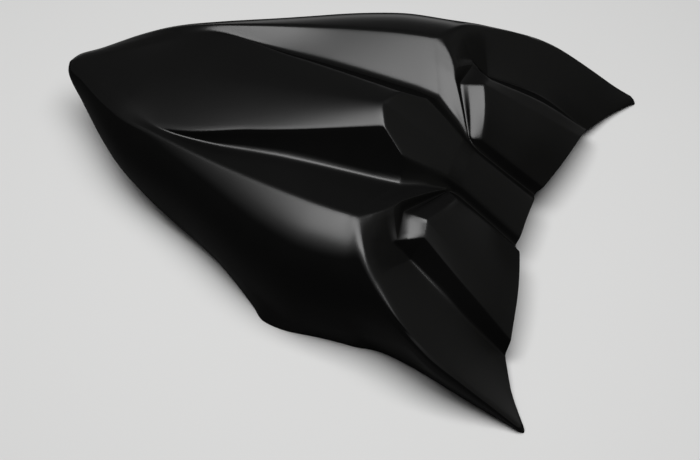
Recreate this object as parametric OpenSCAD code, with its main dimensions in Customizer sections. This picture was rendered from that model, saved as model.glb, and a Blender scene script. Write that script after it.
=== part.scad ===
// Seat cowl for the tail of a motorcycle, one moulded shell with screw bosses inside.
// +X points forward, from the tail tip to the wing tips. The rim rests on z = 0.

/* [Overall] */
// Length from the tail tip to the wing tips
cowl_length = 350; // [320:1:380]
// Width across the wing tips
wing_span = 260; // [240:1:290]
// Height of the hump above the rim
hump_height = 92.8; // [84:0.1:102]

/* [Shell] */
// Thickness of the moulded wall
wall = 3.2; // [2.4:0.1:4]
// Height of the raised pads above the collar
pad_rise = 8; // [4:0.5:10]
// Rise of each pad's inner side above the centre strip
pad_inner_rise = 3; // [1:0.5:4]
// Crown of each pad between its inner side and its ridge
pad_crown = 1.8; // [0:0.1:3]
// Fullness of the side panels' bulge, where 0.7 is about an ellipse
side_fullness = 1.4; // [0.7:0.1:2.2]
// Crown of the hump's halves, where 1 is flat
hump_crown = 1.7; // [1.1:0.1:2.2]
// Hollow of the hump's side walls
flank_hollow = 1; // [0:0.1:2]
// Height by which the shoulders' front ridges arch above a straight line
ridge_arch = 4; // [2:0.5:5]

/* [Screw bosses] */
// Spacing of the screws along the cowl
screw_pitch_x = 95; // [80:1:105]
// Spacing of the screws across the cowl
screw_pitch_y = 92; // [84:1:100]
// Distance from the tail tip to the rear screws
rear_screw_x = 130; // [120:1:140]
// Outer diameter of a boss
boss_d = 12; // [10:0.5:14]
// Diameter of the screw hole in a boss
screw_hole_d = 5; // [4:0.1:6]
// Depth of the screw hole
screw_hole_depth = 18; // [12:1:24]
// Height of the bosses' faces above the rim
boss_face_z = 24; // [18:1:30]

/* [Ribs] */
// Thickness of the stiffening ribs
rib_t = 2.2; // [1.6:0.1:3]
// Height above the rim of the ribs' lower edges
rib_edge_z = 54; // [52:1:57]

/* [Hidden] */
$fn = 48;

// Size at which the outlines below are drawn
drawn_length = 350;
drawn_span = 260;
drawn_height = 92.8;
drawn_pad_rise = 8;
drawn_inner_rise = 3;

// Tilt of the collar and its pads from the level
collar_tilt = 39;
// Slant of the inward direction at the crest, from straight down to sideways
crest_slant = 45;
// How fast the shoulders' arch grows forward, where 1 is evenly
arch_growth = 1.5;
// How fast the inward direction turns round the tail tip, where 1 is evenly
turn_growth = 0.4;
// How far down in the wall a boss or rib ends
seat_depth = wall / 3;
// How far a hole's cutter reaches past a boss's face
cut_past = 1;

// Each line of the shape is a list of [section, [x, y, z]] on the left half.
// Sections run from the tail tip, 0, over the hump's front vertex, 10, the shoulder's
// front ridge, 13, and the pad's rear bevels, 14 to 16, to the front edge, 20.
ridge = [
    [0, [3.4, 0, 49.6]], [2, [19, 0, 53.6]], [5, [86, 0, 67.4]], [8, [172, 0, 83.6]],
    [10, [218, 0, 92.8]], [13, [262, 0, 62.6]], [16, [270.5, 0, 56]], [20, [311.4, 0, 22]]
];
hump_edge = [
    [0, [2, 0, 49]], [1, [6.8, 4.6, 50.3]], [2, [18.5, 8, 53.3]], [4, [61, 25.5, 62.7]],
    [5, [86, 40, 64.2]], [7, [145.3, 31.3, 74.3]], [10, [223.8, 13.9, 89.7]],
    [11, [238, 22.6, 79.1]], [12, [252, 18.8, 69.6]], [13, [264, 15.3, 60.6]],
    [16, [272, 14, 53.3]], [20, [311.6, 15.4, 20.8]]
];
valley = [
    [0, [1, 0, 48.4]], [1, [5.7, 6.5, 49.5]], [2, [18, 11.5, 52.6]], [4, [61, 32, 62.3]],
    [5, [86, 41.2, 63.5]], [6, [115.7, 41.8, 63]], [8, [172, 38.8, 66.8]], [10, [226, 36, 68.6]],
    [11, [241, 34.6, 67.5]], [12, [255, 26.3, 61.8]], [13, [266.2, 18.8, 54]],
    [16, [272.3, 18.2, 47.8]], [20, [309.6, 20.6, 17.2]]
];
crest = [
    [0, [0, 0, 47.2]], [1, [4.6, 8.4, 48.2]], [2, [17.3, 15.3, 51.3]], [3, [40.8, 30.6, 57.1]],
    [4, [60.7, 40.5, 61.3]], [5, [84.8, 46.5, 65.2]], [7, [144.8, 60.1, 71.8]],
    [9, [199.2, 69, 77]], [10, [218, 70.8, 78]], [11, [225, 71, 78.4]], [13, [230.5, 72, 78.6]],
    [14, [237, 85.5, 77.5]], [15, [243.5, 94, 73.2]], [16, [250.5, 101, 68]],
    [17, [270, 117, 54.8]], [18, [289, 124.6, 43]], [19, [312, 127.5, 28.6]], [20, [350, 130, 2.7]]
];
belly = [
    [0, [0, 0, 45]], [1, [4.6, 9.2, 44.4]], [2, [16.2, 18.8, 42]], [4, [60, 54, 33]],
    [6, [114.5, 77.2, 26]], [8, [172, 104.5, 20]], [9, [197.5, 113, 16]], [10, [216, 113, 18]],
    [13, [238, 112.6, 22]], [16, [256, 113, 26]], [17, [274, 119, 38]], [18, [291, 124.6, 31]],
    [19, [313, 127, 20]], [20, [350, 130, 1.5]]
];
rim = [
    [0, [0.6, 0, 42.8]], [1, [5, 9, 41.7]], [2, [16, 18.6, 38.8]], [4, [60, 53, 25.5]],
    [5, [85, 65, 18.5]], [7, [145, 89, 6.5]], [8, [172, 103.5, 1.5]], [9, [191, 112.4, 0]],
    [10, [216, 111.5, 0]], [13, [238, 110, 0]], [16, [262, 108.6, 0]], [17, [275, 111, 0]],
    [18, [292, 115, 0]], [19, [314, 121, 0]], [20, [350, 129.6, 0]]
];

// Angle below the level at which the side panel leaves the crest
side_tilt = [
    [0, 80], [2, 56], [4, 38], [5, 29], [7, 18], [9, 14], [10, 14], [13, 14],
    [14, 18], [15, 26], [16, 40], [17, 58], [18, 68], [20, 78]
];

// Lines of the shoulder's front ridge and of the pad, which start at section 13.
// Behind it they lie on the shoulder, at these shares of its width.
pad_inner = [
    [13, [263.5, 23.5, 58]], [14, [266.6, 22.4, 54.3]], [15, [269.8, 22.8, 54.4]],
    [16, [276.4, 23.2, 51.8]], [18, [295, 23.4, 37]], [20, [314.2, 25.2, 21]]
];
pad_ridge = [
    [13, [246.2, 48.8, 71.9]], [14, [249.2, 52, 66.2]], [15, [254.6, 52.6, 67.3]],
    [16, [263.8, 53.6, 68.6]], [18, [298, 64, 42.3]], [20, [325.2, 73.5, 19.2]]
];
pad_outer = [
    [13, [242.3, 54.8, 73.8]], [14, [250.4, 63.6, 61.4]], [15, [256.2, 64.4, 63]],
    [16, [265.7, 62.8, 63.6]], [18, [298, 74.3, 41]], [20, [326.8, 83.3, 16]]
];
pad_foot = [
    [13, [238.4, 60.5, 75.6]], [14, [248.5, 69, 64]], [15, [254, 72, 60.8]],
    [16, [259.5, 72, 58]], [18, [291.5, 82, 36.3]], [20, [325.5, 88.5, 7]]
];
collar = [
    [13, [234.8, 66, 77.6]], [14, [243.5, 77.5, 69.8]], [15, [249.5, 83, 65.5]],
    [16, [255, 86, 61]], [18, [290, 102, 36.6]], [20, [334, 108.5, 5.3]]
];
shoulder_shares = [0.09, 0.56, 0.67, 0.78, 0.89];

// Sections at which forms start and end
tip_end = 5;
flank_full = 7;
lean_start = 9;
hump_front = 10;
hump_foot = 11;
front_ridge = 13;
bevel_foot = 14;
pad_full = 16;
front_edge = 20;

// Sections where the lines of the top turn sharply
sharp_sections = [10, 11, 13, 14, 15, 16];

// Columns of facets between one section and the next
columns_per_section = [1, 2, 2, 3, 2, 3, 3, 3, 3, 3, 2, 2, 2, 1, 1, 1, 2, 2, 2, 3];
column_sections = [
    for (i = [0:front_edge - 1])
        for (k = [0:columns_per_section[i] - 1])
            i + k / columns_per_section[i],
    front_edge
];

// Rows of facets between neighbouring lines
hump_rows = 3;
flank_rows = 2;
pad_rows = 3;
outer_collar_rows = 2;
side_rows = 5;

// Place of a drawn point at the cowl's own size
function placed(p) = [
    p.x * cowl_length / drawn_length,
    p.y * wing_span / drawn_span,
    p.z * hump_height / drawn_height
];

function mixed(a, b, share) = a + (b - a) * share;

// Share from 0 to 1 as a section goes from one to another
function ramp(s, from, to) = max(0, min(1, (s - from) / (to - from)));

// Coordinates in whole microns, so that shared edges meet exactly
function snapped(p) = [for (c = p) round(c * 1000) / 1000];

function is_sharp(section, sharp) = len([for (s = sharp) if (s == section) s]) > 0;

function span_of(line, s, i = 0) =
    i >= len(line) - 2 || s < line[i + 1][0] ? i : span_of(line, s, i + 1);

function secant(line, i) = (line[i + 1][1] - line[i][1]) / (line[i + 1][0] - line[i][0]);

// Slope at a point of a line, from the span before and the span after it
function slope_at(line, i, span, sharp) =
    i == 0 || i == len(line) - 1 || is_sharp(line[i][0], sharp)
        ? secant(line, span)
        : let (
            before = line[i][0] - line[i - 1][0],
            after = line[i + 1][0] - line[i][0]
        )
        (secant(line, i - 1) * after + secant(line, i) * before) / (before + after);

// Point of a line at any section, on a cubic curve through its points
function on_line(line, s, sharp = []) =
    let (
        i = span_of(line, s),
        step = line[i + 1][0] - line[i][0],
        t = (s - line[i][0]) / step,
        from = line[i][1],
        to = line[i + 1][1],
        leaving = slope_at(line, i, i, sharp) * step,
        arriving = slope_at(line, i + 1, i, sharp) * step
    )
    from * (2 * t ^ 3 - 3 * t ^ 2 + 1) + leaving * (t ^ 3 - 2 * t ^ 2 + t)
        + to * (3 * t ^ 2 - 2 * t ^ 3) + arriving * (t ^ 3 - t ^ 2);

// Direction in which the collar's surface faces
collar_normal = [sin(collar_tilt), 0, cos(collar_tilt)];

// Point of a pad line: on the arched shoulder behind the ridge, raised with the pad before it
function pad_point(line, share, s, valley_point, crest_point, lift) =
    s < front_ridge
        ? mixed(valley_point, crest_point, share) + [0, 0, arch_at(s) * sin(180 * share)]
        : placed(on_line(line, s, sharp_sections)) + lift * pad_share(s) * collar_normal;

// The shoulder arches up towards its front ridge
function arch_at(s) = ridge_arch * ramp(s, hump_front, front_ridge) ^ arch_growth;

function pad_share(s) = ramp(s, bevel_foot, pad_full);

// Conic from the crest out and down to the belly, which it reaches upright
function side_point(top, low, tilt, share) =
    let (
        turning = [
            mixed(top.x, low.x, 0.5),
            low.y,
            top.z - (low.y - top.y) * tan(tilt)
        ],
        weights = [(1 - share) ^ 2, 2 * side_fullness * share * (1 - share), share ^ 2]
    )
    (weights[0] * top + weights[1] * turning + weights[2] * low)
        / (weights[0] + weights[1] + weights[2]);

// The rim never dips below the surface that it rests on
function on_floor(p) = [p.x, p.y, max(0, p.z)];

// Points of one section, from the centre line over the crest to the rim
function section_points(s) =
    let (
        r = placed(on_line(ridge, s, sharp_sections)),
        h = placed(on_line(hump_edge, s, sharp_sections)),
        v = placed(on_line(valley, s, sharp_sections)),
        c = placed(on_line(crest, s)),
        b = placed(on_line(belly, s)),
        e = on_floor(placed(on_line(rim, s))),
        tilt = on_line(side_tilt, s),
        extra = pad_rise - drawn_pad_rise,
        inner_extra = pad_inner_rise - drawn_inner_rise,
        inner = pad_point(pad_inner, shoulder_shares[0], s, v, c, inner_extra),
        top = pad_point(pad_ridge, shoulder_shares[1], s, v, c, extra),
        outer = pad_point(pad_outer, shoulder_shares[2], s, v, c, extra),
        foot = pad_point(pad_foot, shoulder_shares[3], s, v, c, 0),
        mid = pad_point(collar, shoulder_shares[4], s, v, c, 0),
        crown = pad_crown * pad_share(s),
        hollow = flank_hollow * ramp(s, tip_end, flank_full) * ramp(s, front_ridge, hump_foot)
    )
    [
        for (i = [0:hump_rows - 1])
            let (share = i / hump_rows)
            [
                mixed(r.x, h.x, share),
                mixed(r.y, h.y, share),
                mixed(r.z, h.z, share ^ hump_crown)
            ],
        for (i = [0:flank_rows - 1])
            let (share = i / flank_rows)
            mixed(h, v, share) - [0, 0, hollow * sin(180 * share)],
        v,
        for (i = [0:pad_rows - 1])
            let (share = i / pad_rows)
            mixed(inner, top, share) + crown * sin(180 * share) * collar_normal,
        top,
        outer,
        mixed(outer, foot, 0.5),
        foot,
        for (i = [0:outer_collar_rows - 1])
            mixed(mid, c, i / outer_collar_rows),
        for (i = [0:side_rows - 1])
            side_point(c, b, tilt, i / side_rows),
        b,
        e
    ];

rows = len(section_points(0));
crest_row = rows - 2 - side_rows;

// Turn of the inward direction round the tail tip: forward at the tip, sideways further on
function tip_turn(s) = 90 * ramp(s, 0, tip_end) ^ turn_growth;

// Lean of the inward direction under the sloping collar
function collar_lean(s) = collar_tilt * ramp(s, lean_start, front_ridge);

// Direction from the outer skin to the inner skin
function inward(s, row) =
    let (
        over = row <= crest_row,
        from_vertical = over
            ? crest_slant * (row / crest_row) ^ 2
            : mixed(crest_slant, 90, (row - crest_row) / (rows - 1 - crest_row)),
        lean = collar_lean(s),
        turn = tip_turn(s),
        below = [-sin(lean), 0, -cos(lean)],
        beside = [cos(turn), -sin(turn), 0],
        d = cos(from_vertical) * below + sin(from_vertical) * beside
    )
    row == 0 ? below : d / norm(d);

// The wall thins out towards the tips of the wings
function wall_at(crest_point) = wall * min(1, crest_point.z / (2 * wall));

outer_skin = [for (s = column_sections) [for (p = section_points(s)) snapped(p)]];
inner_skin = [
    for (i = [0:len(column_sections) - 1])
        let (s = column_sections[i], t = wall_at(outer_skin[i][crest_row]))
        [for (row = [0:rows - 1]) snapped(outer_skin[i][row] + t * inward(s, row))]
];
columns = len(column_sections);

function mirrored(skin) = [for (column = skin) [for (p = column) [p.x, -p.y, p.z]]];
function flat_list(skin) = [for (column = skin) for (p = column) p];

// Triangles of the quad a, b, c, d, turned over when flip is true
function quad(a, b, c, d, flip) =
    flip ? [[a, c, b], [a, d, c]] : [[a, b, c], [a, c, d]];

// Triangles of one skin whose points start at index base
function skin_faces(base, flip) = [
    for (c = [0:columns - 2])
        for (r = [0:rows - 2])
            let (a = base + c * rows + r)
            each quad(a, a + 1, a + rows + 1, a + rows, flip)
];

// Triangles along the rim and the front edge, from a skin at index a to one at index b
function edge_faces(a, b, flip) = [
    for (c = [0:columns - 2])
        let (i = c * rows + rows - 1)
        each quad(a + i, b + i, b + i + rows, a + i + rows, flip),
    for (r = [0:rows - 2])
        let (i = (columns - 1) * rows + r)
        each quad(a + i, a + i + 1, b + i + 1, b + i, flip)
];

skin_size = columns * rows;

// The moulded wall, between its outer and inner skins
module wall_shell() {
    points = concat(
        flat_list(outer_skin),
        flat_list(mirrored(outer_skin)),
        flat_list(inner_skin),
        flat_list(mirrored(inner_skin))
    );
    faces = concat(
        skin_faces(0, false),
        skin_faces(skin_size, true),
        skin_faces(2 * skin_size, true),
        skin_faces(3 * skin_size, false),
        edge_faces(0, 2 * skin_size, false),
        edge_faces(skin_size, 3 * skin_size, true)
    );
    polyhedron(points, faces, convexity = 8);
}

// The space under the outer skin, closed straight across from side to side
module filled_form() {
    points = concat(flat_list(outer_skin), flat_list(mirrored(outer_skin)));
    faces = concat(
        skin_faces(0, false),
        skin_faces(skin_size, true),
        edge_faces(0, skin_size, false)
    );
    polyhedron(points, faces, convexity = 6);
}

screw_places = [
    for (x = [rear_screw_x, rear_screw_x + screw_pitch_x])
        for (side = [-1, 1])
            [x, side * screw_pitch_y / 2]
];

// Bosses that hang from the shell's roof, before they are cut off inside the wall
module boss_columns() {
    for (place = screw_places)
        translate([place.x, place.y, boss_face_z])
            cylinder(d = boss_d, h = hump_height);
}

// Ribs between the bosses, along the cowl and across it
module rib_plates() {
    for (side = [-1, 1])
        translate([rear_screw_x, side * screw_pitch_y / 2 - rib_t / 2, rib_edge_z])
            cube([screw_pitch_x, rib_t, hump_height]);
    for (x = [rear_screw_x, rear_screw_x + screw_pitch_x])
        translate([x - rib_t / 2, -screw_pitch_y / 2, rib_edge_z])
            cube([rib_t, screw_pitch_y, hump_height]);
}

module screw_holes() {
    for (place = screw_places)
        translate([place.x, place.y, boss_face_z - cut_past])
            cylinder(d = screw_hole_d, h = screw_hole_depth + cut_past);
}

module cowl_shell() {
    color([0.07, 0.07, 0.075])
        translate([-cowl_length / 2, 0, 0])
            difference() {
                union() {
                    wall_shell();
                    intersection() {
                        translate([0, 0, -seat_depth]) filled_form();
                        union() {
                            boss_columns();
                            rib_plates();
                        }
                    }
                }
                screw_holes();
            }
}

cowl_shell();
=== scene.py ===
from math import cos, pi, radians, sin

import bmesh
import bpy
import numpy as np
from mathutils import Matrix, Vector
from mathutils.bvhtree import BVHTree


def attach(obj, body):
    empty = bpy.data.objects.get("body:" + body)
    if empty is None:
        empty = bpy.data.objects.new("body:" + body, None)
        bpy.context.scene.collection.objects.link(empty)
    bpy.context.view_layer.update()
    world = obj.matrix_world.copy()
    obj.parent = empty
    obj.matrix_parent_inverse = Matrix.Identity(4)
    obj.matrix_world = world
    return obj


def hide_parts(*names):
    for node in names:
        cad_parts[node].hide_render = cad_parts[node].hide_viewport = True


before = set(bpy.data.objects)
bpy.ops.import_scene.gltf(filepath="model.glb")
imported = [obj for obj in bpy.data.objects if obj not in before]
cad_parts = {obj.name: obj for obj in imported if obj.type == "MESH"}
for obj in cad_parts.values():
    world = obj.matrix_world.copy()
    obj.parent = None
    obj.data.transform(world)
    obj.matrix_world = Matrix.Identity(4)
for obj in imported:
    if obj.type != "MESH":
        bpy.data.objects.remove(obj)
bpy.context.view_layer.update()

millimetre = 0.001
rightAngle = 90  # In degrees
tiny = 1e-9  # Stands in for a length of 0 in a division

# Lines of the left half, each a list of (section, (x, y, z)), in millimetres forward of the tail
# tip, left of the centre plane and above the floor. Sections run from the tail tip, 0, over the
# hump's front vertex, 10, the shoulder's front ridge, 13, and the pad's rear bevels, 14 to 16,
# to the front edge, 20.
ridge = [
    (0, (3.4, 0, 49.6)), (2, (19, 0, 53.6)), (5, (86, 0, 67.4)), (8, (172, 0, 83.6)),
    (10, (218, 0, 92.8)), (13, (262, 0, 62.6)), (16, (270.5, 0, 56)), (20, (311.4, 0, 22)),
]
humpEdge = [
    (0, (2, 0, 49)), (1, (6.8, 4.6, 50.3)), (2, (18.5, 8, 53.3)), (4, (61, 25.5, 62.7)),
    (5, (86, 40, 64.2)), (7, (145.3, 31.3, 74.3)), (10, (223.8, 13.9, 89.7)),
    (11, (238, 22.6, 79.1)), (12, (252, 18.8, 69.6)), (13, (264, 15.3, 60.6)),
    (16, (272, 14, 53.3)), (20, (311.6, 15.4, 20.8)),
]
valley = [
    (0, (1, 0, 48.4)), (1, (5.7, 6.5, 49.5)), (2, (18, 11.5, 52.6)), (4, (61, 32, 62.3)),
    (5, (86, 41.2, 63.5)), (6, (115.7, 41.8, 63)), (8, (172, 38.8, 67.4)), (10, (226, 36, 68.2)),
    (11, (241, 34.6, 67.5)), (12, (255, 26.3, 61.8)), (13, (266.2, 18.8, 54)),
    (16, (272.3, 18.2, 47.8)), (20, (309.6, 20.6, 17.2)),
]
crest = [
    (0, (0, 0, 47.2)), (1, (4.6, 8.4, 48.2)), (2, (17.3, 15.3, 51.3)), (3, (40.8, 30.6, 57.1)),
    (4, (60.7, 40.5, 61.3)), (5, (84.8, 46.5, 65.2)), (7, (144.8, 60.1, 71.4)),
    (9, (199.2, 69, 76.8)), (10, (218, 70.8, 78.4)), (11, (225, 71, 78.8)), (13, (229, 72, 79.3)),
    (14, (237, 85.5, 77.5)), (15, (243.5, 94, 73.2)), (16, (250.5, 101, 68)),
    (17, (270, 117, 54.8)), (18, (289, 124.6, 43)), (19, (312, 127.5, 28.6)), (20, (350, 130, 2.7)),
]
belly = [
    (0, (0, 0, 45)), (1, (4.6, 9.2, 44.4)), (2, (16.2, 18.8, 42)), (4, (60, 54, 33)),
    (6, (114.5, 77.2, 26)), (8, (172, 104.5, 20)), (9, (197.5, 113, 16)), (10, (216, 113, 18)),
    (13, (238, 112.6, 22)), (16, (256, 113, 26)), (17, (274, 119, 38)), (18, (291, 124.6, 31)),
    (19, (313, 127, 20)), (20, (350, 130, 1.5)),
]
rim = [
    (0, (0.6, 0, 42.8)), (1, (5, 9, 41.7)), (2, (16, 18.6, 38.8)), (4, (60, 53, 25.5)),
    (5, (85, 65, 18.5)), (7, (145, 89, 6.5)), (8, (172.5, 105.8, 1)), (8.5, (180.5, 112, 0)),
    (9, (192, 113.8, 0)), (10, (216, 111.5, 0)), (13, (238, 110, 0)), (16, (262, 108.6, 0)),
    (17, (275, 111, 0)), (18, (292, 115, 0)), (19, (314, 121, 0)), (20, (350, 129.6, 0)),
]
padInner = [
    (13, (263.5, 23.5, 58)), (14, (264.4, 22.6, 54.6)), (15, (266.8, 20.8, 54.8)),
    (16, (273.1, 23, 53.3)), (18, (295, 23.4, 37)), (20, (314.2, 25.2, 21)),
]
padRidge = [
    (13, (247.2, 48.8, 72.2)), (14, (248.9, 51.3, 65.2)), (15, (254.2, 51.7, 66.8)),
    (16, (263.8, 53.6, 68.6)), (18, (298, 64, 42.3)), (20, (325.2, 73.5, 19.2)),
]
padOuter = [
    (13, (244.3, 54.8, 74.2)), (14, (252.5, 70.5, 65.2)), (15, (257.4, 66.8, 63.6)),
    (16, (265.7, 62.8, 63.6)), (18, (298, 74.3, 41)), (20, (326.8, 83.3, 16)),
]
padFoot = [
    (13, (241, 60.5, 76)), (14, (250.3, 73, 64.2)), (15, (256.3, 72.9, 58)),
    (16, (261, 73.3, 53)), (18, (292.3, 84.2, 35.6)), (20, (325.5, 88.5, 7)),
]
collar = [
    (13, (236, 66.4, 77.8)), (14, (243.5, 78.5, 70.6)), (15, (249.5, 85, 66)),
    (16, (255, 86, 61)), (18, (290.6, 102.6, 38.6)), (20, (335.3, 108.3, 4.9)),
]

# Angle below the level at which the side panel leaves the crest, in degrees
sideTilt = [
    (0, (80,)), (2, (56,)), (4, (38,)), (5, (29,)), (7, (18,)), (9, (14,)), (10, (14,)), (13, (14,)),
    (14, (18,)), (15, (26,)), (16, (40,)), (17, (58,)), (18, (68,)), (20, (78,)),
]

# Lengths in millimetres, and angles in degrees where no other unit is given
shell = {
    "length": 350,
    "span": 260,
    "tipRound": 2.6,  # Radius of the wing's tip in plan
    "tipTurn": 0.5,  # Way that the tip points, in radians from straight ahead
    "tipReach": 20,  # Distance from the tip within which it grows
    "tipGrow": 4.2,  # Growth at the tip, which its rounding takes off again
    "tipTrim": 0.4,  # Share of the tip's radius where the rounding starts
    "wall": 3.2,
    "padCrown": 1.8,
    "sideFullness": 1.4,
    "sideCrowding": 1.4,  # Power that draws the side panel's rows towards the crest
    "humpCrown": 1.7,  # Power of the curve across the hump, where 1 is flat
    "flankHollow": 1,
    "ridgeArch": 4,  # Height of the arch along the shoulder's front ridge
    "archGrowth": 2.1,  # Power with which the shoulder's arch grows towards its front ridge
    "collarTilt": 39,
    "crestLean": 45,  # Way through the wall at the crest, from straight down
    "tailTurnEnd": 5,  # Section from which the way through the wall no longer turns
    "tailTurnGrowth": 0.4,  # Power with which it turns up to there, from straight ahead
    "alongSoft": 1.1,  # Softness of the bends along the shell
    "cornerSoft": 12,  # The same on the side panel, below the corner of the crest
    "cornerFrom": (15, 16.5),  # Marks over which that softness comes in
    "cornerTo": (19, 20.5),  # Marks over which it fades out
    "collarCrestSoft": 6.5,
    "collarCrestReach": 2,  # Marks on each side of the crest that this softness reaches
    "leastGap": 0.002,  # Shortest gap between points that the rounding counts
    "edgeRound": 0.6,
    "edgeSteps": 4,  # Steps round each of the free edge's two corners
    "edgeReachShare": 0.8,  # Most that the edge's radius takes of the first row
    "edgeWallShare": 0.4,  # Most that it takes of the wall
    "frontRidge": 13,  # Section from which the pad lines and the collar line are followed
    "sharpSections": (10, 11, 13, 14, 15, 16),  # Sections where the upper lines turn a corner
    "crestCorners": (11, 13),
    # Places of the pad lines and the collar line between valley and crest, behind the ridge
    "shoulderShares": (0.09, 0.56, 0.67, 0.78, 0.89),
    # Columns of points between each section and the next
    "columns": (6, 8, 10, 12, 10, 12, 12, 12, 10, 10, 8, 8, 10, 6, 6, 6, 10, 10, 10, 16),
}

# Sections between which a form of the shell comes in or fades out
stretches = {
    "hollowIn": (5, 7),
    "hollowOut": (11, 13),
    "archIn": (10, 13),
    "archOut": (13, 14),
    "padCrownIn": (14, 16),
    "wallLeanIn": (9, 13),
    "roundCrestIn": (12, 14),
    "softCornerIn": (8, 10),
    "softCornerOut": (17, 18.5),
}

# Strips between neighbouring lines. Marks count across the shell, from 0 on the centre line to
# 21 on the rim. Each strip has the marks of its two lines, its rows in the mesh and the softness
# in millimetres of the bend at its upper line.
strips = {
    "hump": (0, 3, 14, 1.6),
    "flank": (3, 5, 11, 1.3),
    "shoulder": (5, 6, 4, 2.4),
    "padTop": (6, 9, 14, 1.0),
    "padSide": (9, 10, 6, 1.0),
    "padWall": (10, 12, 8, 1.0),
    "collarInner": (12, 13, 5, 1.2),
    "collarOuter": (13, 15, 8, 5.0),
    "side": (15, 20, 24, 0.8),
    "skirt": (20, 21, 9, 2.5),
}
crestMark = strips["side"][0]
rimMark = strips["skirt"][1]


def mixed(a, b, share):
    return a + (b - a) * share


def lineAt(line, sections, sharp=()):
    # Cubic curve through a line's points, with a corner at each sharp section
    knots = np.array([point[0] for point in line], float)
    places = np.array([point[1] for point in line], float)
    steps = np.diff(knots)
    secants = np.diff(places, axis=0) / steps[:, None]
    leaving = secants.copy()
    arriving = secants.copy()
    for i in range(1, len(knots) - 1):
        if knots[i] not in sharp:
            slope = (secants[i - 1] * steps[i] + secants[i] * steps[i - 1]) / (steps[i - 1] + steps[i])
            leaving[i] = slope
            arriving[i - 1] = slope
    span = np.clip(np.searchsorted(knots, sections, side="right") - 1, 0, len(knots) - 2)
    step = steps[span][:, None]
    t = (sections - knots[span])[:, None] / step
    return (
        places[span] * (2 * t**3 - 3 * t**2 + 1)
        + leaving[span] * step * (t**3 - 2 * t**2 + t)
        + places[span + 1] * (3 * t**2 - 2 * t**3)
        + arriving[span] * step * (t**3 - t**2)
    )


def ramp(values, start, end):
    return np.clip((values - start) / (end - start), 0, 1)


def spread(count):
    # Shares from 0 to 1 that lie closer together towards both ends
    return 0.5 - 0.5 * np.cos(np.linspace(0, pi, count + 1))


def even(count):
    return np.linspace(0, 1, count + 1)


def crowded(count):
    # Shares from 0 to 1 that lie closer together towards 0
    return even(count) ** shell["sideCrowding"]


def pointAt(line, section):
    # The point that a line has at one of its own sections
    return np.array(dict(line)[section], float)


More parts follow.
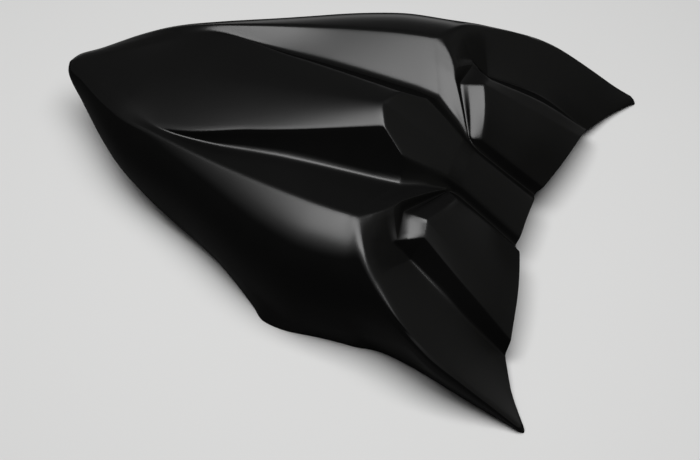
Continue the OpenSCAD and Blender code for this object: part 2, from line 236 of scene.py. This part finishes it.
def outerGrid():
    # The outer skin of the left half, as columns of points from the centre line to the rim
    sections = [0.0]
    for i, count in enumerate(shell["columns"]):
        sections.extend(i + spread(count)[1:])
    sections = np.array(sections)
    sharp = shell["sharpSections"]
    frontRidge = shell["frontRidge"]
    top = lineAt(ridge, sections, sharp)
    edge = lineAt(humpEdge, sections, sharp)
    low = lineAt(valley, sections, sharp)
    brow = lineAt(crest, sections, shell["crestCorners"])
    bulge = lineAt(belly, sections)
    foot = lineAt(rim, sections)
    foot[:, 2] = np.maximum(foot[:, 2], 0)
    onPad = (sections >= frontRidge)[:, None]
    collarNormal = np.array([sin(radians(shell["collarTilt"])), 0, cos(radians(shell["collarTilt"]))])
    shares = (0,) + shell["shoulderShares"] + (1,)
    # Behind its front ridge the shoulder turns from flat into the ridge's own arched section
    nearRidge = ramp(sections, *stretches["archIn"]) ** shell["archGrowth"]
    rise = shell["ridgeArch"] * nearRidge * (1 - ramp(sections, *stretches["archOut"]))
    lowFront = pointAt(valley, frontRidge)
    browFront = pointAt(crest, frontRidge)

    def archAt(share):
        return rise * sin(pi * share)

    padLines = []
    for line, share in zip((padInner, padRidge, padOuter, padFoot, collar), shell["shoulderShares"]):
        shoulder = mixed(low, brow, share)
        shoulder[:, 2] += archAt(share)
        atRidge = pointAt(line, frontRidge) - mixed(lowFront, browFront, share)
        atRidge[2] -= shell["ridgeArch"] * sin(pi * share)
        shoulder += nearRidge[:, None] * atRidge
        padLines.append(np.where(onPad, lineAt(line, sections, sharp), shoulder))
    inner, padTop, outer, wallFoot, middle = padLines

    hollow = shell["flankHollow"] * ramp(sections, *stretches["hollowIn"])
    hollow = hollow * (1 - ramp(sections, *stretches["hollowOut"]))
    crown = shell["padCrown"] * ramp(sections, *stretches["padCrownIn"])
    tilt = np.radians(lineAt(sideTilt, sections)[:, 0])
    turning = 0.5 * (brow + bulge)
    turning[:, 1] = bulge[:, 1]
    turning[:, 2] = brow[:, 2] - (bulge[:, 1] - brow[:, 1]) * np.tan(tilt)

    rows = []
    marks = []

    def strip(name, point, spacing=spread):
        firstMark, lastMark, count = strips[name][:3]
        for share in spacing(count)[:-1]:
            rows.append(point(share))
            marks.append(mixed(firstMark, lastMark, share))

    def arched(points, share, k):
        # Raises points between the shoulder's lines k and k + 1 onto one smooth arch across it
        here = mixed(shares[k], shares[k + 1], share)
        points[:, 2] += archAt(here) - mixed(archAt(shares[k]), archAt(shares[k + 1]), share)
        return points

    def humpPoint(share):
        across = mixed(top, edge, share)
        across[:, 2] = mixed(top[:, 2], edge[:, 2], share ** shell["humpCrown"])
        return across

    def flankPoint(share):
        across = mixed(edge, low, share)
        across[:, 2] -= hollow * sin(pi * share)
        return across

    def padPoint(share):
        crowned = mixed(inner, padTop, share) + (crown * sin(pi * share))[:, None] * collarNormal
        return arched(crowned, share, 1)

    def sidePoint(share):
        # Conic from the crest, where it leaves at sideTilt, to the belly, where it is upright
        weights = ((1 - share) ** 2, 2 * shell["sideFullness"] * share * (1 - share), share**2)
        return (weights[0] * brow + weights[1] * turning + weights[2] * bulge) / sum(weights)

    strip("hump", humpPoint)
    strip("flank", flankPoint)
    strip("shoulder", lambda share: arched(mixed(low, inner, share), share, 0))
    strip("padTop", padPoint)
    strip("padSide", lambda share: arched(mixed(padTop, outer, share), share, 2))
    strip("padWall", lambda share: arched(mixed(outer, wallFoot, share), share, 3))
    strip("collarInner", lambda share: arched(mixed(wallFoot, middle, share), share, 4))
    strip("collarOuter", lambda share: arched(mixed(middle, brow, share), share, 5))
    strip("side", sidePoint, crowded)
    strip("skirt", lambda share: mixed(bulge, foot, share), even)
    rows.append(foot)
    marks.append(rimMark)
    grid = roundedTip(np.array(rows).transpose(1, 0, 2))
    return sections, np.array(marks, float), grid


def roundedTip(grid):
    # Rounds the wing's tip in plan, inside the corner of the box that it reaches
    radius = shell["tipRound"]
    tip = np.array([shell["length"], shell["span"] / 2])
    outward = np.array([cos(shell["tipTurn"]), sin(shell["tipTurn"])])
    centre = tip - radius
    plan = grid[:, :, :2]
    near = np.clip(1 - np.linalg.norm(plan - tip, axis=2) / shell["tipReach"], 0, 1)[:, :, None]
    plan = plan + outward * shell["tipGrow"] * near**2
    arm = plan - centre
    distance = np.linalg.norm(arm, axis=2, keepdims=True)
    beyond = (distance > radius) & ((arm @ outward)[:, :, None] > shell["tipTrim"] * radius)
    grid[:, :, :2] = np.where(beyond, centre + arm * radius / np.maximum(distance, tiny), plan)
    return grid


def relaxed(grid, softness, steps=3):
    # Rounds the bends along the grid's first axis, over a length of softness in millimetres.
    # The first line lies on the centre plane, so it stays there, and the last line stays put.
    # Each step solves the points' flow towards their neighbours as heat flows along a chain.
    count = grid.shape[0]
    conduct = (softness**2 / 2) / steps
    result = grid.copy()
    for _ in range(steps):
        gaps = np.maximum(np.linalg.norm(np.diff(result, axis=0), axis=2), shell["leastGap"])[:, :, None]
        flow = 0.5 * (conduct[:-1] + conduct[1:]) / gaps
        mass = np.zeros_like(result[:, :, :1])
        mass[:-1] += gaps / 2
        mass[1:] += gaps / 2
        before = np.zeros_like(result)
        after = np.zeros_like(result)
        before[1:] = -flow
        after[:-1] = -flow
        middle = mass - before - after
        wanted = result * mass
        after[0, :, 1] = 0
        middle[0, :, 1] = 1
        wanted[0, :, 1] = 0
        before[-1] = 0
        middle[-1] = 1
        wanted[-1] = result[-1]
        for i in range(1, count):
            share = before[i] / middle[i - 1]
            middle[i] = middle[i] - share * after[i - 1]
            wanted[i] = wanted[i] - share * wanted[i - 1]
        result[-1] = wanted[-1] / middle[-1]
        for i in range(count - 2, -1, -1):
            result[i] = (wanted[i] - after[i] * result[i + 1]) / middle[i]
    return result


def inwardDirections(sections, marks):
    # Directions from the outer skin to the inner skin, one for each point of the grid
    lean = shell["crestLean"]
    above = lean * (marks / crestMark) ** 2
    below = lean + (rightAngle - lean) * (marks - crestMark) / (rimMark - crestMark)
    fromVertical = np.radians(np.where(marks <= crestMark, above, below))[None, :, None]
    tilt = np.radians(shell["collarTilt"] * ramp(sections, *stretches["wallLeanIn"]))
    turned = np.minimum(1, (sections / shell["tailTurnEnd"]) ** shell["tailTurnGrowth"])
    turn = np.radians(rightAngle * turned)
    still = np.zeros_like(sections)
    down = np.stack([-np.sin(tilt), still, -np.cos(tilt)], axis=1)[:, None, :]
    beside = np.stack([np.cos(turn), -np.sin(turn), still], axis=1)[:, None, :]
    direction = np.cos(fromVertical) * down + np.sin(fromVertical) * beside
    return direction / np.linalg.norm(direction, axis=2, keepdims=True)


def unit(vectors):
    return vectors / np.maximum(np.linalg.norm(vectors, axis=-1, keepdims=True), tiny)


def shellMesh():
    sections, marks, outer = outerGrid()
    bends = [entry[-1] for entry in strips.values()]
    rowSoft = []
    for entry, following in zip(strips.values(), bends[1:] + bends[-1:]):
        count, soft = entry[2:]
        rowSoft.extend(mixed(soft, following, share) for share in even(count)[:-1])
    rowSoft.append(bends[-1])
    rowSoft = np.array(rowSoft)[:, None]
    # The collar's crest is rounder than the crest of the shoulder
    nearCrest = 1 - np.minimum(1, abs(marks - crestMark) / shell["collarCrestReach"])[:, None]
    roundCrest = nearCrest * ramp(sections, *stretches["roundCrestIn"])[None, :]
    rowSoft = mixed(rowSoft, shell["collarCrestSoft"], roundCrest)
    # The side panel runs smoothly on below the corner where the crest turns outwards
    onSide = ramp(marks, *shell["cornerFrom"]) * (1 - ramp(marks, *shell["cornerTo"]))
    nearCorner = ramp(sections, *stretches["softCornerIn"])
    nearCorner = nearCorner * (1 - ramp(sections, *stretches["softCornerOut"]))
    alongSoft = mixed(shell["alongSoft"], shell["cornerSoft"], nearCorner[:, None] * onSide[None, :])
    outer = relaxed(outer.transpose(1, 0, 2), rowSoft[:, :, None])
    outer = relaxed(outer.transpose(1, 0, 2), alongSoft[:, :, None])
    # The wall thins where the crest is less than two walls high
    crestRow = int(np.argmin(abs(marks - crestMark)))
    thickness = shell["wall"] * np.minimum(1, outer[:, crestRow, 2] / (2 * shell["wall"]))
    inner = outer + thickness[:, None, None] * inwardDirections(sections, marks)

    # The free edge, as a path along the rim and then along the front edge to the centre line,
    # and the points behind it, one row or column further in
    columns, rows = outer.shape[:2]
    path = [(c, rows - 1) for c in range(columns)] + [(columns - 1, r) for r in range(rows - 2, -1, -1)]
    behind = [(c, r - 1) if c < columns - 1 else (c - 1, min(r, rows - 2)) for c, r in path]
    pathColumns, pathRows = np.array(path).T
    behindColumns, behindRows = np.array(behind).T
    start = outer[pathColumns, pathRows]
    end = inner[pathColumns, pathRows]
    across = unit(end - start)
    back = outer[behindColumns, behindRows] - start
    backInner = inner[behindColumns, behindRows] - end
    reach = np.minimum(np.linalg.norm(back, axis=1), np.linalg.norm(backInner, axis=1))
    radius = np.minimum(shell["edgeRound"], shell["edgeReachShare"] * reach)
    radius = np.minimum(radius, shell["edgeWallShare"] * np.linalg.norm(end - start, axis=1))[:, None]
    back = unit(back)
    backInner = unit(backInner)
    turns = [pi / 2 * k / shell["edgeSteps"] for k in range(shell["edgeSteps"] + 1)]
    ring = []
    for turn in turns:
        ring.append(start + radius * (1 - cos(turn)) * across + radius * (1 - sin(turn)) * back)
    for turn in reversed(turns):
        ring.append(end - radius * (1 - cos(turn)) * across + radius * (1 - sin(turn)) * backInner)
    outer[pathColumns, pathRows] = ring[0]
    inner[pathColumns, pathRows] = ring[-1]
    bands = np.array(ring[1:-1])

    # Points of the left half, then those of the right half that don't lie on the centre plane
    size = columns * rows
    left = np.concatenate([outer.reshape(-1, 3), inner.reshape(-1, 3), bands.reshape(-1, 3)])
    number = np.arange(size).reshape(columns, rows)
    skins = [number, number + size]
    bandNumbers = 2 * size + np.arange(bands.shape[0] * len(path)).reshape(bands.shape[0], len(path))
    central = np.zeros(len(left), bool)
    for skin in skins:
        central[skin[0]] = True
        central[skin[:, 0]] = True
    central[bandNumbers[:, 0]] = True
    central[bandNumbers[:, -1]] = True
    left[central, 1] = 0
    mirrorOf = np.where(central, np.arange(len(left)), 0)
    mirrorOf[~central] = len(left) + np.arange(np.count_nonzero(~central))
    right = left[~central] * [1, -1, 1]
    points = np.concatenate([left, right])
    points[:, 0] -= shell["length"] / 2

    def quads(a, b, c, d):
        return np.stack([a.ravel(), b.ravel(), c.ravel(), d.ravel()], axis=1)

    faces = []
    outerFaces = quads(number[:-1, :-1], number[:-1, 1:], number[1:, 1:], number[1:, :-1])
    faces.append(outerFaces[:, ::-1])
    faces.append(outerFaces + size)
    onPath = number[pathColumns, pathRows]
    lines = np.concatenate([onPath[None, :], bandNumbers, (onPath + size)[None, :]])
    faces.append(quads(lines[:-1, :-1], lines[:-1, 1:], lines[1:, 1:], lines[1:, :-1]))
    leftFaces = np.concatenate(faces)
    rightFaces = mirrorOf[leftFaces][:, ::-1]
    return points * millimetre, np.concatenate([leftFaces, rightFaces])


def newObject(name, points, faces):
    mesh = bpy.data.meshes.new(name)
    mesh.from_pydata([tuple(p) for p in points], [], [tuple(int(i) for i in f) for f in faces])
    mesh.polygons.foreach_set("use_smooth", [True] * len(mesh.polygons))
    mesh.update()
    piece = bpy.data.objects.new(name, mesh)
    bpy.context.scene.collection.objects.link(piece)
    return piece


class Signal:
    # An output socket that takes part in sums and products
    def __init__(self, shader, socket):
        self.shader = shader
        self.socket = socket

    def maths(self, operation, first, second):
        return self.shader.make("ShaderNodeMath", {"operation": operation}, {0: first, 1: second})

    def __add__(self, other):
        return self.maths("ADD", self, other)

    def __radd__(self, other):
        return self.maths("ADD", other, self)

    def __sub__(self, other):
        return self.maths("SUBTRACT", self, other)

    def __rsub__(self, other):
        return self.maths("SUBTRACT", other, self)

    def __mul__(self, other):
        return self.maths("MULTIPLY", self, other)

    def __rmul__(self, other):
        return self.maths("MULTIPLY", other, self)


class Shader:
    # A material whose nodes are made one at a time, each from its type, settings and sockets
    def __init__(self, name):
        self.material = bpy.data.materials.new(name)
        self.material.use_nodes = True
        self.tree = self.material.node_tree
        self.tree.nodes.clear()

    def make(self, kind, settings, sockets, output=0):
        node = self.tree.nodes.new(kind)
        for name, value in settings.items():
            setattr(node, name, value)
        for name, value in sockets.items():
            if isinstance(value, Signal):
                self.tree.links.new(value.socket, node.inputs[name])
            else:
                node.inputs[name].default_value = value
        if len(node.outputs) == 0:
            return node
        return Signal(self, node.outputs[output])

    def blend(self, value, start, end, low, high):
        # Goes smoothly from low to high as the value goes from start to end
        sockets = {"Value": value, "From Min": start, "From Max": end, "To Min": low, "To Max": high}
        return self.make("ShaderNodeMapRange", {"interpolation_type": "SMOOTHSTEP"}, sockets)


satin = {
    "dark": (0.002, 0.002, 0.002, 1),
    "pale": (0.0058, 0.0058, 0.0055, 1),
    "cloudScale": 45.0,
    "cloudDetail": 4.0,
    "cloudMiddle": 0.5,  # What the cloud noise varies about
    "cloudShare": 0.3,
    "frontShare": 0.7,
    "frontFrom": 0.3,  # Forward part of the surface's direction at which the front's look starts
    "frontTo": 0.5,
    "sideFrom": 0.35,  # Sideways part at which it fades
    "sideTo": 0.6,
    "specular": 0.03,
    "roughness": 0.8,
    "roughnessSpread": 0.05,
    "coatRoughness": 0.29,
    "coatTop": 1.0,  # Lacquer on what faces up
    "coatSteep": 0.0,  # Coat on steep walls, left off as painted shade that darkens them
    "forwardShare": 0.1,  # Share of facing forward that counts as facing up
    "steepFrom": 0.785,  # Upward part of the surface's direction from which there is coat; below it the coat fades out as painted shade
    "steepTo": 0.865,  # Upward part from which there is all of it
    "grainScale": 2600.0,
    "grainDetail": 2.0,
    "grainStrength": 0.35,
    "grainDepth": 0.00001,
    "frontGrain": 2.5,
}

# Places of a colour mix's two colours among its inputs, and of the mix among its outputs
mixSockets = {"first": 6, "second": 7, "mix": 2}


def satinBlack():
    shader = Shader("satinBlackPlastic")
    place = shader.make("ShaderNodeTexCoord", {}, {}, "Object")
    facing = shader.make("ShaderNodeTexCoord", {}, {}, "Normal")

    def noise(name):
        sockets = {"Vector": place, "Scale": satin[name + "Scale"], "Detail": satin[name + "Detail"]}
        return shader.make("ShaderNodeTexNoise", {}, sockets)

    def part(axis):
        return shader.make("ShaderNodeSeparateXYZ", {}, {"Vector": facing}, axis)

    cloud = noise("cloud")
    grain = noise("grain")
    forward = part("X")
    sideways = shader.make("ShaderNodeMath", {"operation": "ABSOLUTE"}, {0: part("Y")})
    # What faces forward, the collar and the hump's front, is grained and a little paler
    front = shader.blend(forward, satin["frontFrom"], satin["frontTo"], 0.0, 1.0)
    front = front * shader.blend(sideways, satin["sideFrom"], satin["sideTo"], 1.0, 0.0)
    paleness = cloud * satin["cloudShare"] + front * satin["frontShare"]
    colour = shader.make(
        "ShaderNodeMix",
        {"data_type": "RGBA"},
        {"Factor": paleness, mixSockets["first"]: satin["dark"], mixSockets["second"]: satin["pale"]},
        mixSockets["mix"],
    )
    rough = satin["roughness"] + (cloud - satin["cloudMiddle"]) * satin["roughnessSpread"]
    # The satin coat lies on what faces up. It fades out towards steep walls as painted shade, so the
    # lower side panels reflect less and look darker
    upward = part("Z") + forward * satin["forwardShare"]
    coatWithPaintedShade = shader.blend(
        upward, satin["steepFrom"], satin["steepTo"], satin["coatSteep"], satin["coatTop"]
    )
    relief = grain * (1 + front * satin["frontGrain"])
    bump = shader.make(
        "ShaderNodeBump",
        {},
        {"Strength": satin["grainStrength"], "Distance": satin["grainDepth"], "Height": relief},
    )
    surface = shader.make(
        "ShaderNodeBsdfPrincipled",
        {},
        {
            "Base Color": colour,
            "Roughness": rough,
            "Normal": bump,
            "Specular IOR Level": satin["specular"],
            "Coat Weight": coatWithPaintedShade,
            "Coat Roughness": satin["coatRoughness"],
        },
    )
    shader.make("ShaderNodeOutputMaterial", {}, {"Surface": surface})
    return shader.material


studio = {
    "floorColour": (0.75, 0.75, 0.745, 1),
    "floorRoughness": 0.7,
    "floorSize": 6.0,
    "lampSize": (1.2, 0.61),
    "lampPlace": (0.0, -0.035, 1.13),
    "lampPower": 14.0,
    "worldColour": (1, 1, 1, 1),
    "worldStrength": 0.03,
}

viewpoint = {
    "place": (0.21561091, -0.45161903, 0.66754064),
    "turn": (34.41164108, 1.79420664, 21.05),
    "lens": 66.0125,
    "sensor": 36,
    "clip": (0.01, 50),
}


def paleFloor():
    shader = Shader("paleFloor")
    surface = shader.make(
        "ShaderNodeBsdfPrincipled",
        {},
        {"Base Color": studio["floorColour"], "Roughness": studio["floorRoughness"]},
    )
    shader.make("ShaderNodeOutputMaterial", {}, {"Surface": surface})
    half = studio["floorSize"] / 2
    corners = [(-half, -half, 0), (half, -half, 0), (half, half, 0), (-half, half, 0)]
    floor = newObject("floor", corners, [(0, 1, 2, 3)])
    floor.data.materials.append(shader.material)


def softLight():
    lamp = bpy.data.lights.new("softLamp", "AREA")
    lamp.shape = "RECTANGLE"
    lamp.size, lamp.size_y = studio["lampSize"]
    lamp.energy = studio["lampPower"]
    holder = bpy.data.objects.new("softLamp", lamp)
    holder.location = studio["lampPlace"]
    holder.rotation_mode = "QUATERNION"
    # The lamp shines down its own -Z, so its +Z points away from the origin
    upright = Vector(studio["lampPlace"]).rotation_difference(Vector((0, 0, 1)))
    holder.rotation_quaternion = upright.inverted()
    bpy.context.scene.collection.objects.link(holder)
    world = bpy.data.worlds.new("room")
    bpy.context.scene.world = world
    world.use_nodes = True
    background = world.node_tree.nodes["Background"]
    background.inputs["Color"].default_value = studio["worldColour"]
    background.inputs["Strength"].default_value = studio["worldStrength"]


def makeCamera():
    camera = bpy.data.cameras.new("camera")
    camera.lens = viewpoint["lens"]
    camera.sensor_width = viewpoint["sensor"]
    camera.clip_start, camera.clip_end = viewpoint["clip"]
    holder = bpy.data.objects.new("camera", camera)
    holder.location = viewpoint["place"]
    holder.rotation_euler = [radians(angle) for angle in viewpoint["turn"]]
    bpy.context.scene.collection.objects.link(holder)
    bpy.context.scene.camera = holder


bosses = {
    "pitchX": 95,
    "pitchY": 92,
    "rearX": 130,
    "width": 12,
    "hole": 5,
    "holeDepth": 18,
    "coneDepth": 0.8,  # Depth of the cone at the hole's blind end
    "face": 24,
    "chamfer": 0.5,
    "sides": 48,
}

ribs = {"thickness": 2.2, "edge": 54, "step": 2.5}

# What bosses and ribs share, in millimetres and degrees
joining = {
    "seat": 1.1,  # Depth to which they go into the roof
    "rayStart": 1,  # Height from which the roof is looked for
    "merge": 0.01,  # Distance within which points become one
    "sharpAngle": 30,  # Bend from which an edge is shaded sharp
}


def seatHeight(tree, x, y):
    # Height over a place inside the cowl at which a boss or a rib ends, inside the roof's wall
    start = Vector((x, y, joining["rayStart"] * millimetre))
    hit = tree.ray_cast(start, Vector((0, 0, 1)))[0]
    return hit.z + joining["seat"] * millimetre


def finished(piece):
    # Merges doubled points, turns the faces outwards and marks the sharp edges
    work = bmesh.new()
    work.from_mesh(piece.data)
    bmesh.ops.remove_doubles(work, verts=work.verts, dist=joining["merge"] * millimetre)
    bmesh.ops.recalc_face_normals(work, faces=work.faces)
    for edge in work.edges:
        if len(edge.link_faces) == 2 and edge.calc_face_angle() > radians(joining["sharpAngle"]):
            edge.smooth = False
    work.to_mesh(piece.data)
    work.free()
    return piece


def screwBoss(name, tree, x, y):
    # A turned profile from the blind hole's end down, round the face and up into the roof
    outerRadius = bosses["width"] / 2
    holeRadius = bosses["hole"] / 2
    face = bosses["face"]
    bevel = bosses["chamfer"]
    deep = face + bosses["holeDepth"]
    profile = [
        (0, deep + bosses["coneDepth"]),
        (holeRadius, deep),
        (holeRadius, face + bevel),
        (holeRadius + bevel, face),
        (outerRadius - bevel, face),
        (outerRadius, face + bevel),
    ]
    count = bosses["sides"]
    turns = [2 * pi * k / count for k in range(count)]

    def around(radius, turn):
        return x + radius * cos(turn) * millimetre, y + radius * sin(turn) * millimetre

    points = [(*around(radius, turn), z * millimetre) for radius, z in profile for turn in turns]
    for turn in turns:
        place = around(outerRadius, turn)
        points.append((*place, seatHeight(tree, *place)))
    points.append((x, y, seatHeight(tree, x, y)))
    faces = []
    for ring in range(len(profile)):
        for k in range(count):
            a = ring * count + k
            b = ring * count + (k + 1) % count
            faces.append((a, b, b + count, a + count))
    top = len(profile) * count
    for k in range(count):
        faces.append((top + k, top + (k + 1) % count, len(points) - 1))
    return finished(newObject(name, points, faces))


def rib(name, tree, start, end):
    # A plate from start to end on the floor plan, from its lower edge up into the roof
    start = np.array(start)
    end = np.array(end)
    length = np.linalg.norm(end - start)
    along = (end - start) / length
    side = np.array([-along[1], along[0]]) * ribs["thickness"] / 2 * millimetre
    low = ribs["edge"] * millimetre
    count = int(round(length / (ribs["step"] * millimetre)))
    # Each station has four corners: low and high on one side, then low and high on the other
    corners = 4
    points = []
    for k in range(count + 1):
        for way in (-1, 1):
            x, y = start + along * length * k / count + way * side
            high = seatHeight(tree, x, y)
            points.append((x, y, min(low, high)))
            points.append((x, y, high))
    faces = []
    for k in range(count):
        a = corners * k
        b = a + corners
        faces.append((a, a + 1, b + 1, b))
        faces.append((a + 2, b + 2, b + 3, a + 3))
        faces.append((a, b, b + 2, a + 2))
        faces.append((a + 1, a + 3, b + 3, b + 1))
    last = corners * count
    faces.append((0, 2, 3, 1))
    faces.append((last, last + 1, last + 3, last + 2))
    return finished(newObject(name, points, faces))


def bossesAndRibs(tree):
    # Four screw bosses under the roof, and the ribs that join them in a rectangle
    rear = (bosses["rearX"] - shell["length"] / 2) * millimetre
    front = rear + bosses["pitchX"] * millimetre
    left = bosses["pitchY"] / 2 * millimetre
    made = []
    for end, x in (("rear", rear), ("front", front)):
        for hand, y in (("left", left), ("right", -left)):
            made.append(screwBoss(f"screw_boss_{end}_{hand}", tree, x, y))
    made.append(rib("rib_left", tree, (rear, left), (front, left)))
    made.append(rib("rib_right", tree, (rear, -left), (front, -left)))
    made.append(rib("rib_rear", tree, (rear, -left), (rear, left)))
    made.append(rib("rib_front", tree, (front, -left), (front, left)))
    return made


makeCamera()
paleFloor()
softLight()
print("camera, floor and lamp made")

points, faces = shellMesh()
cowl = newObject("cowl", points, faces)
print("cowl mesh made:", len(points), "points,", 2 * len(faces), "triangles")
plastic = satinBlack()
pieces = [cowl]

tree = BVHTree.FromPolygons([tuple(p) for p in points], [tuple(int(i) for i in f) for f in faces])
pieces += bossesAndRibs(tree)
print("screw bosses and ribs made")

for piece in pieces:
    piece.data.materials.append(plastic)
    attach(piece, "root")
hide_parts("cowl_shell")

scene = bpy.context.scene
scene.view_settings.view_transform = "Standard"
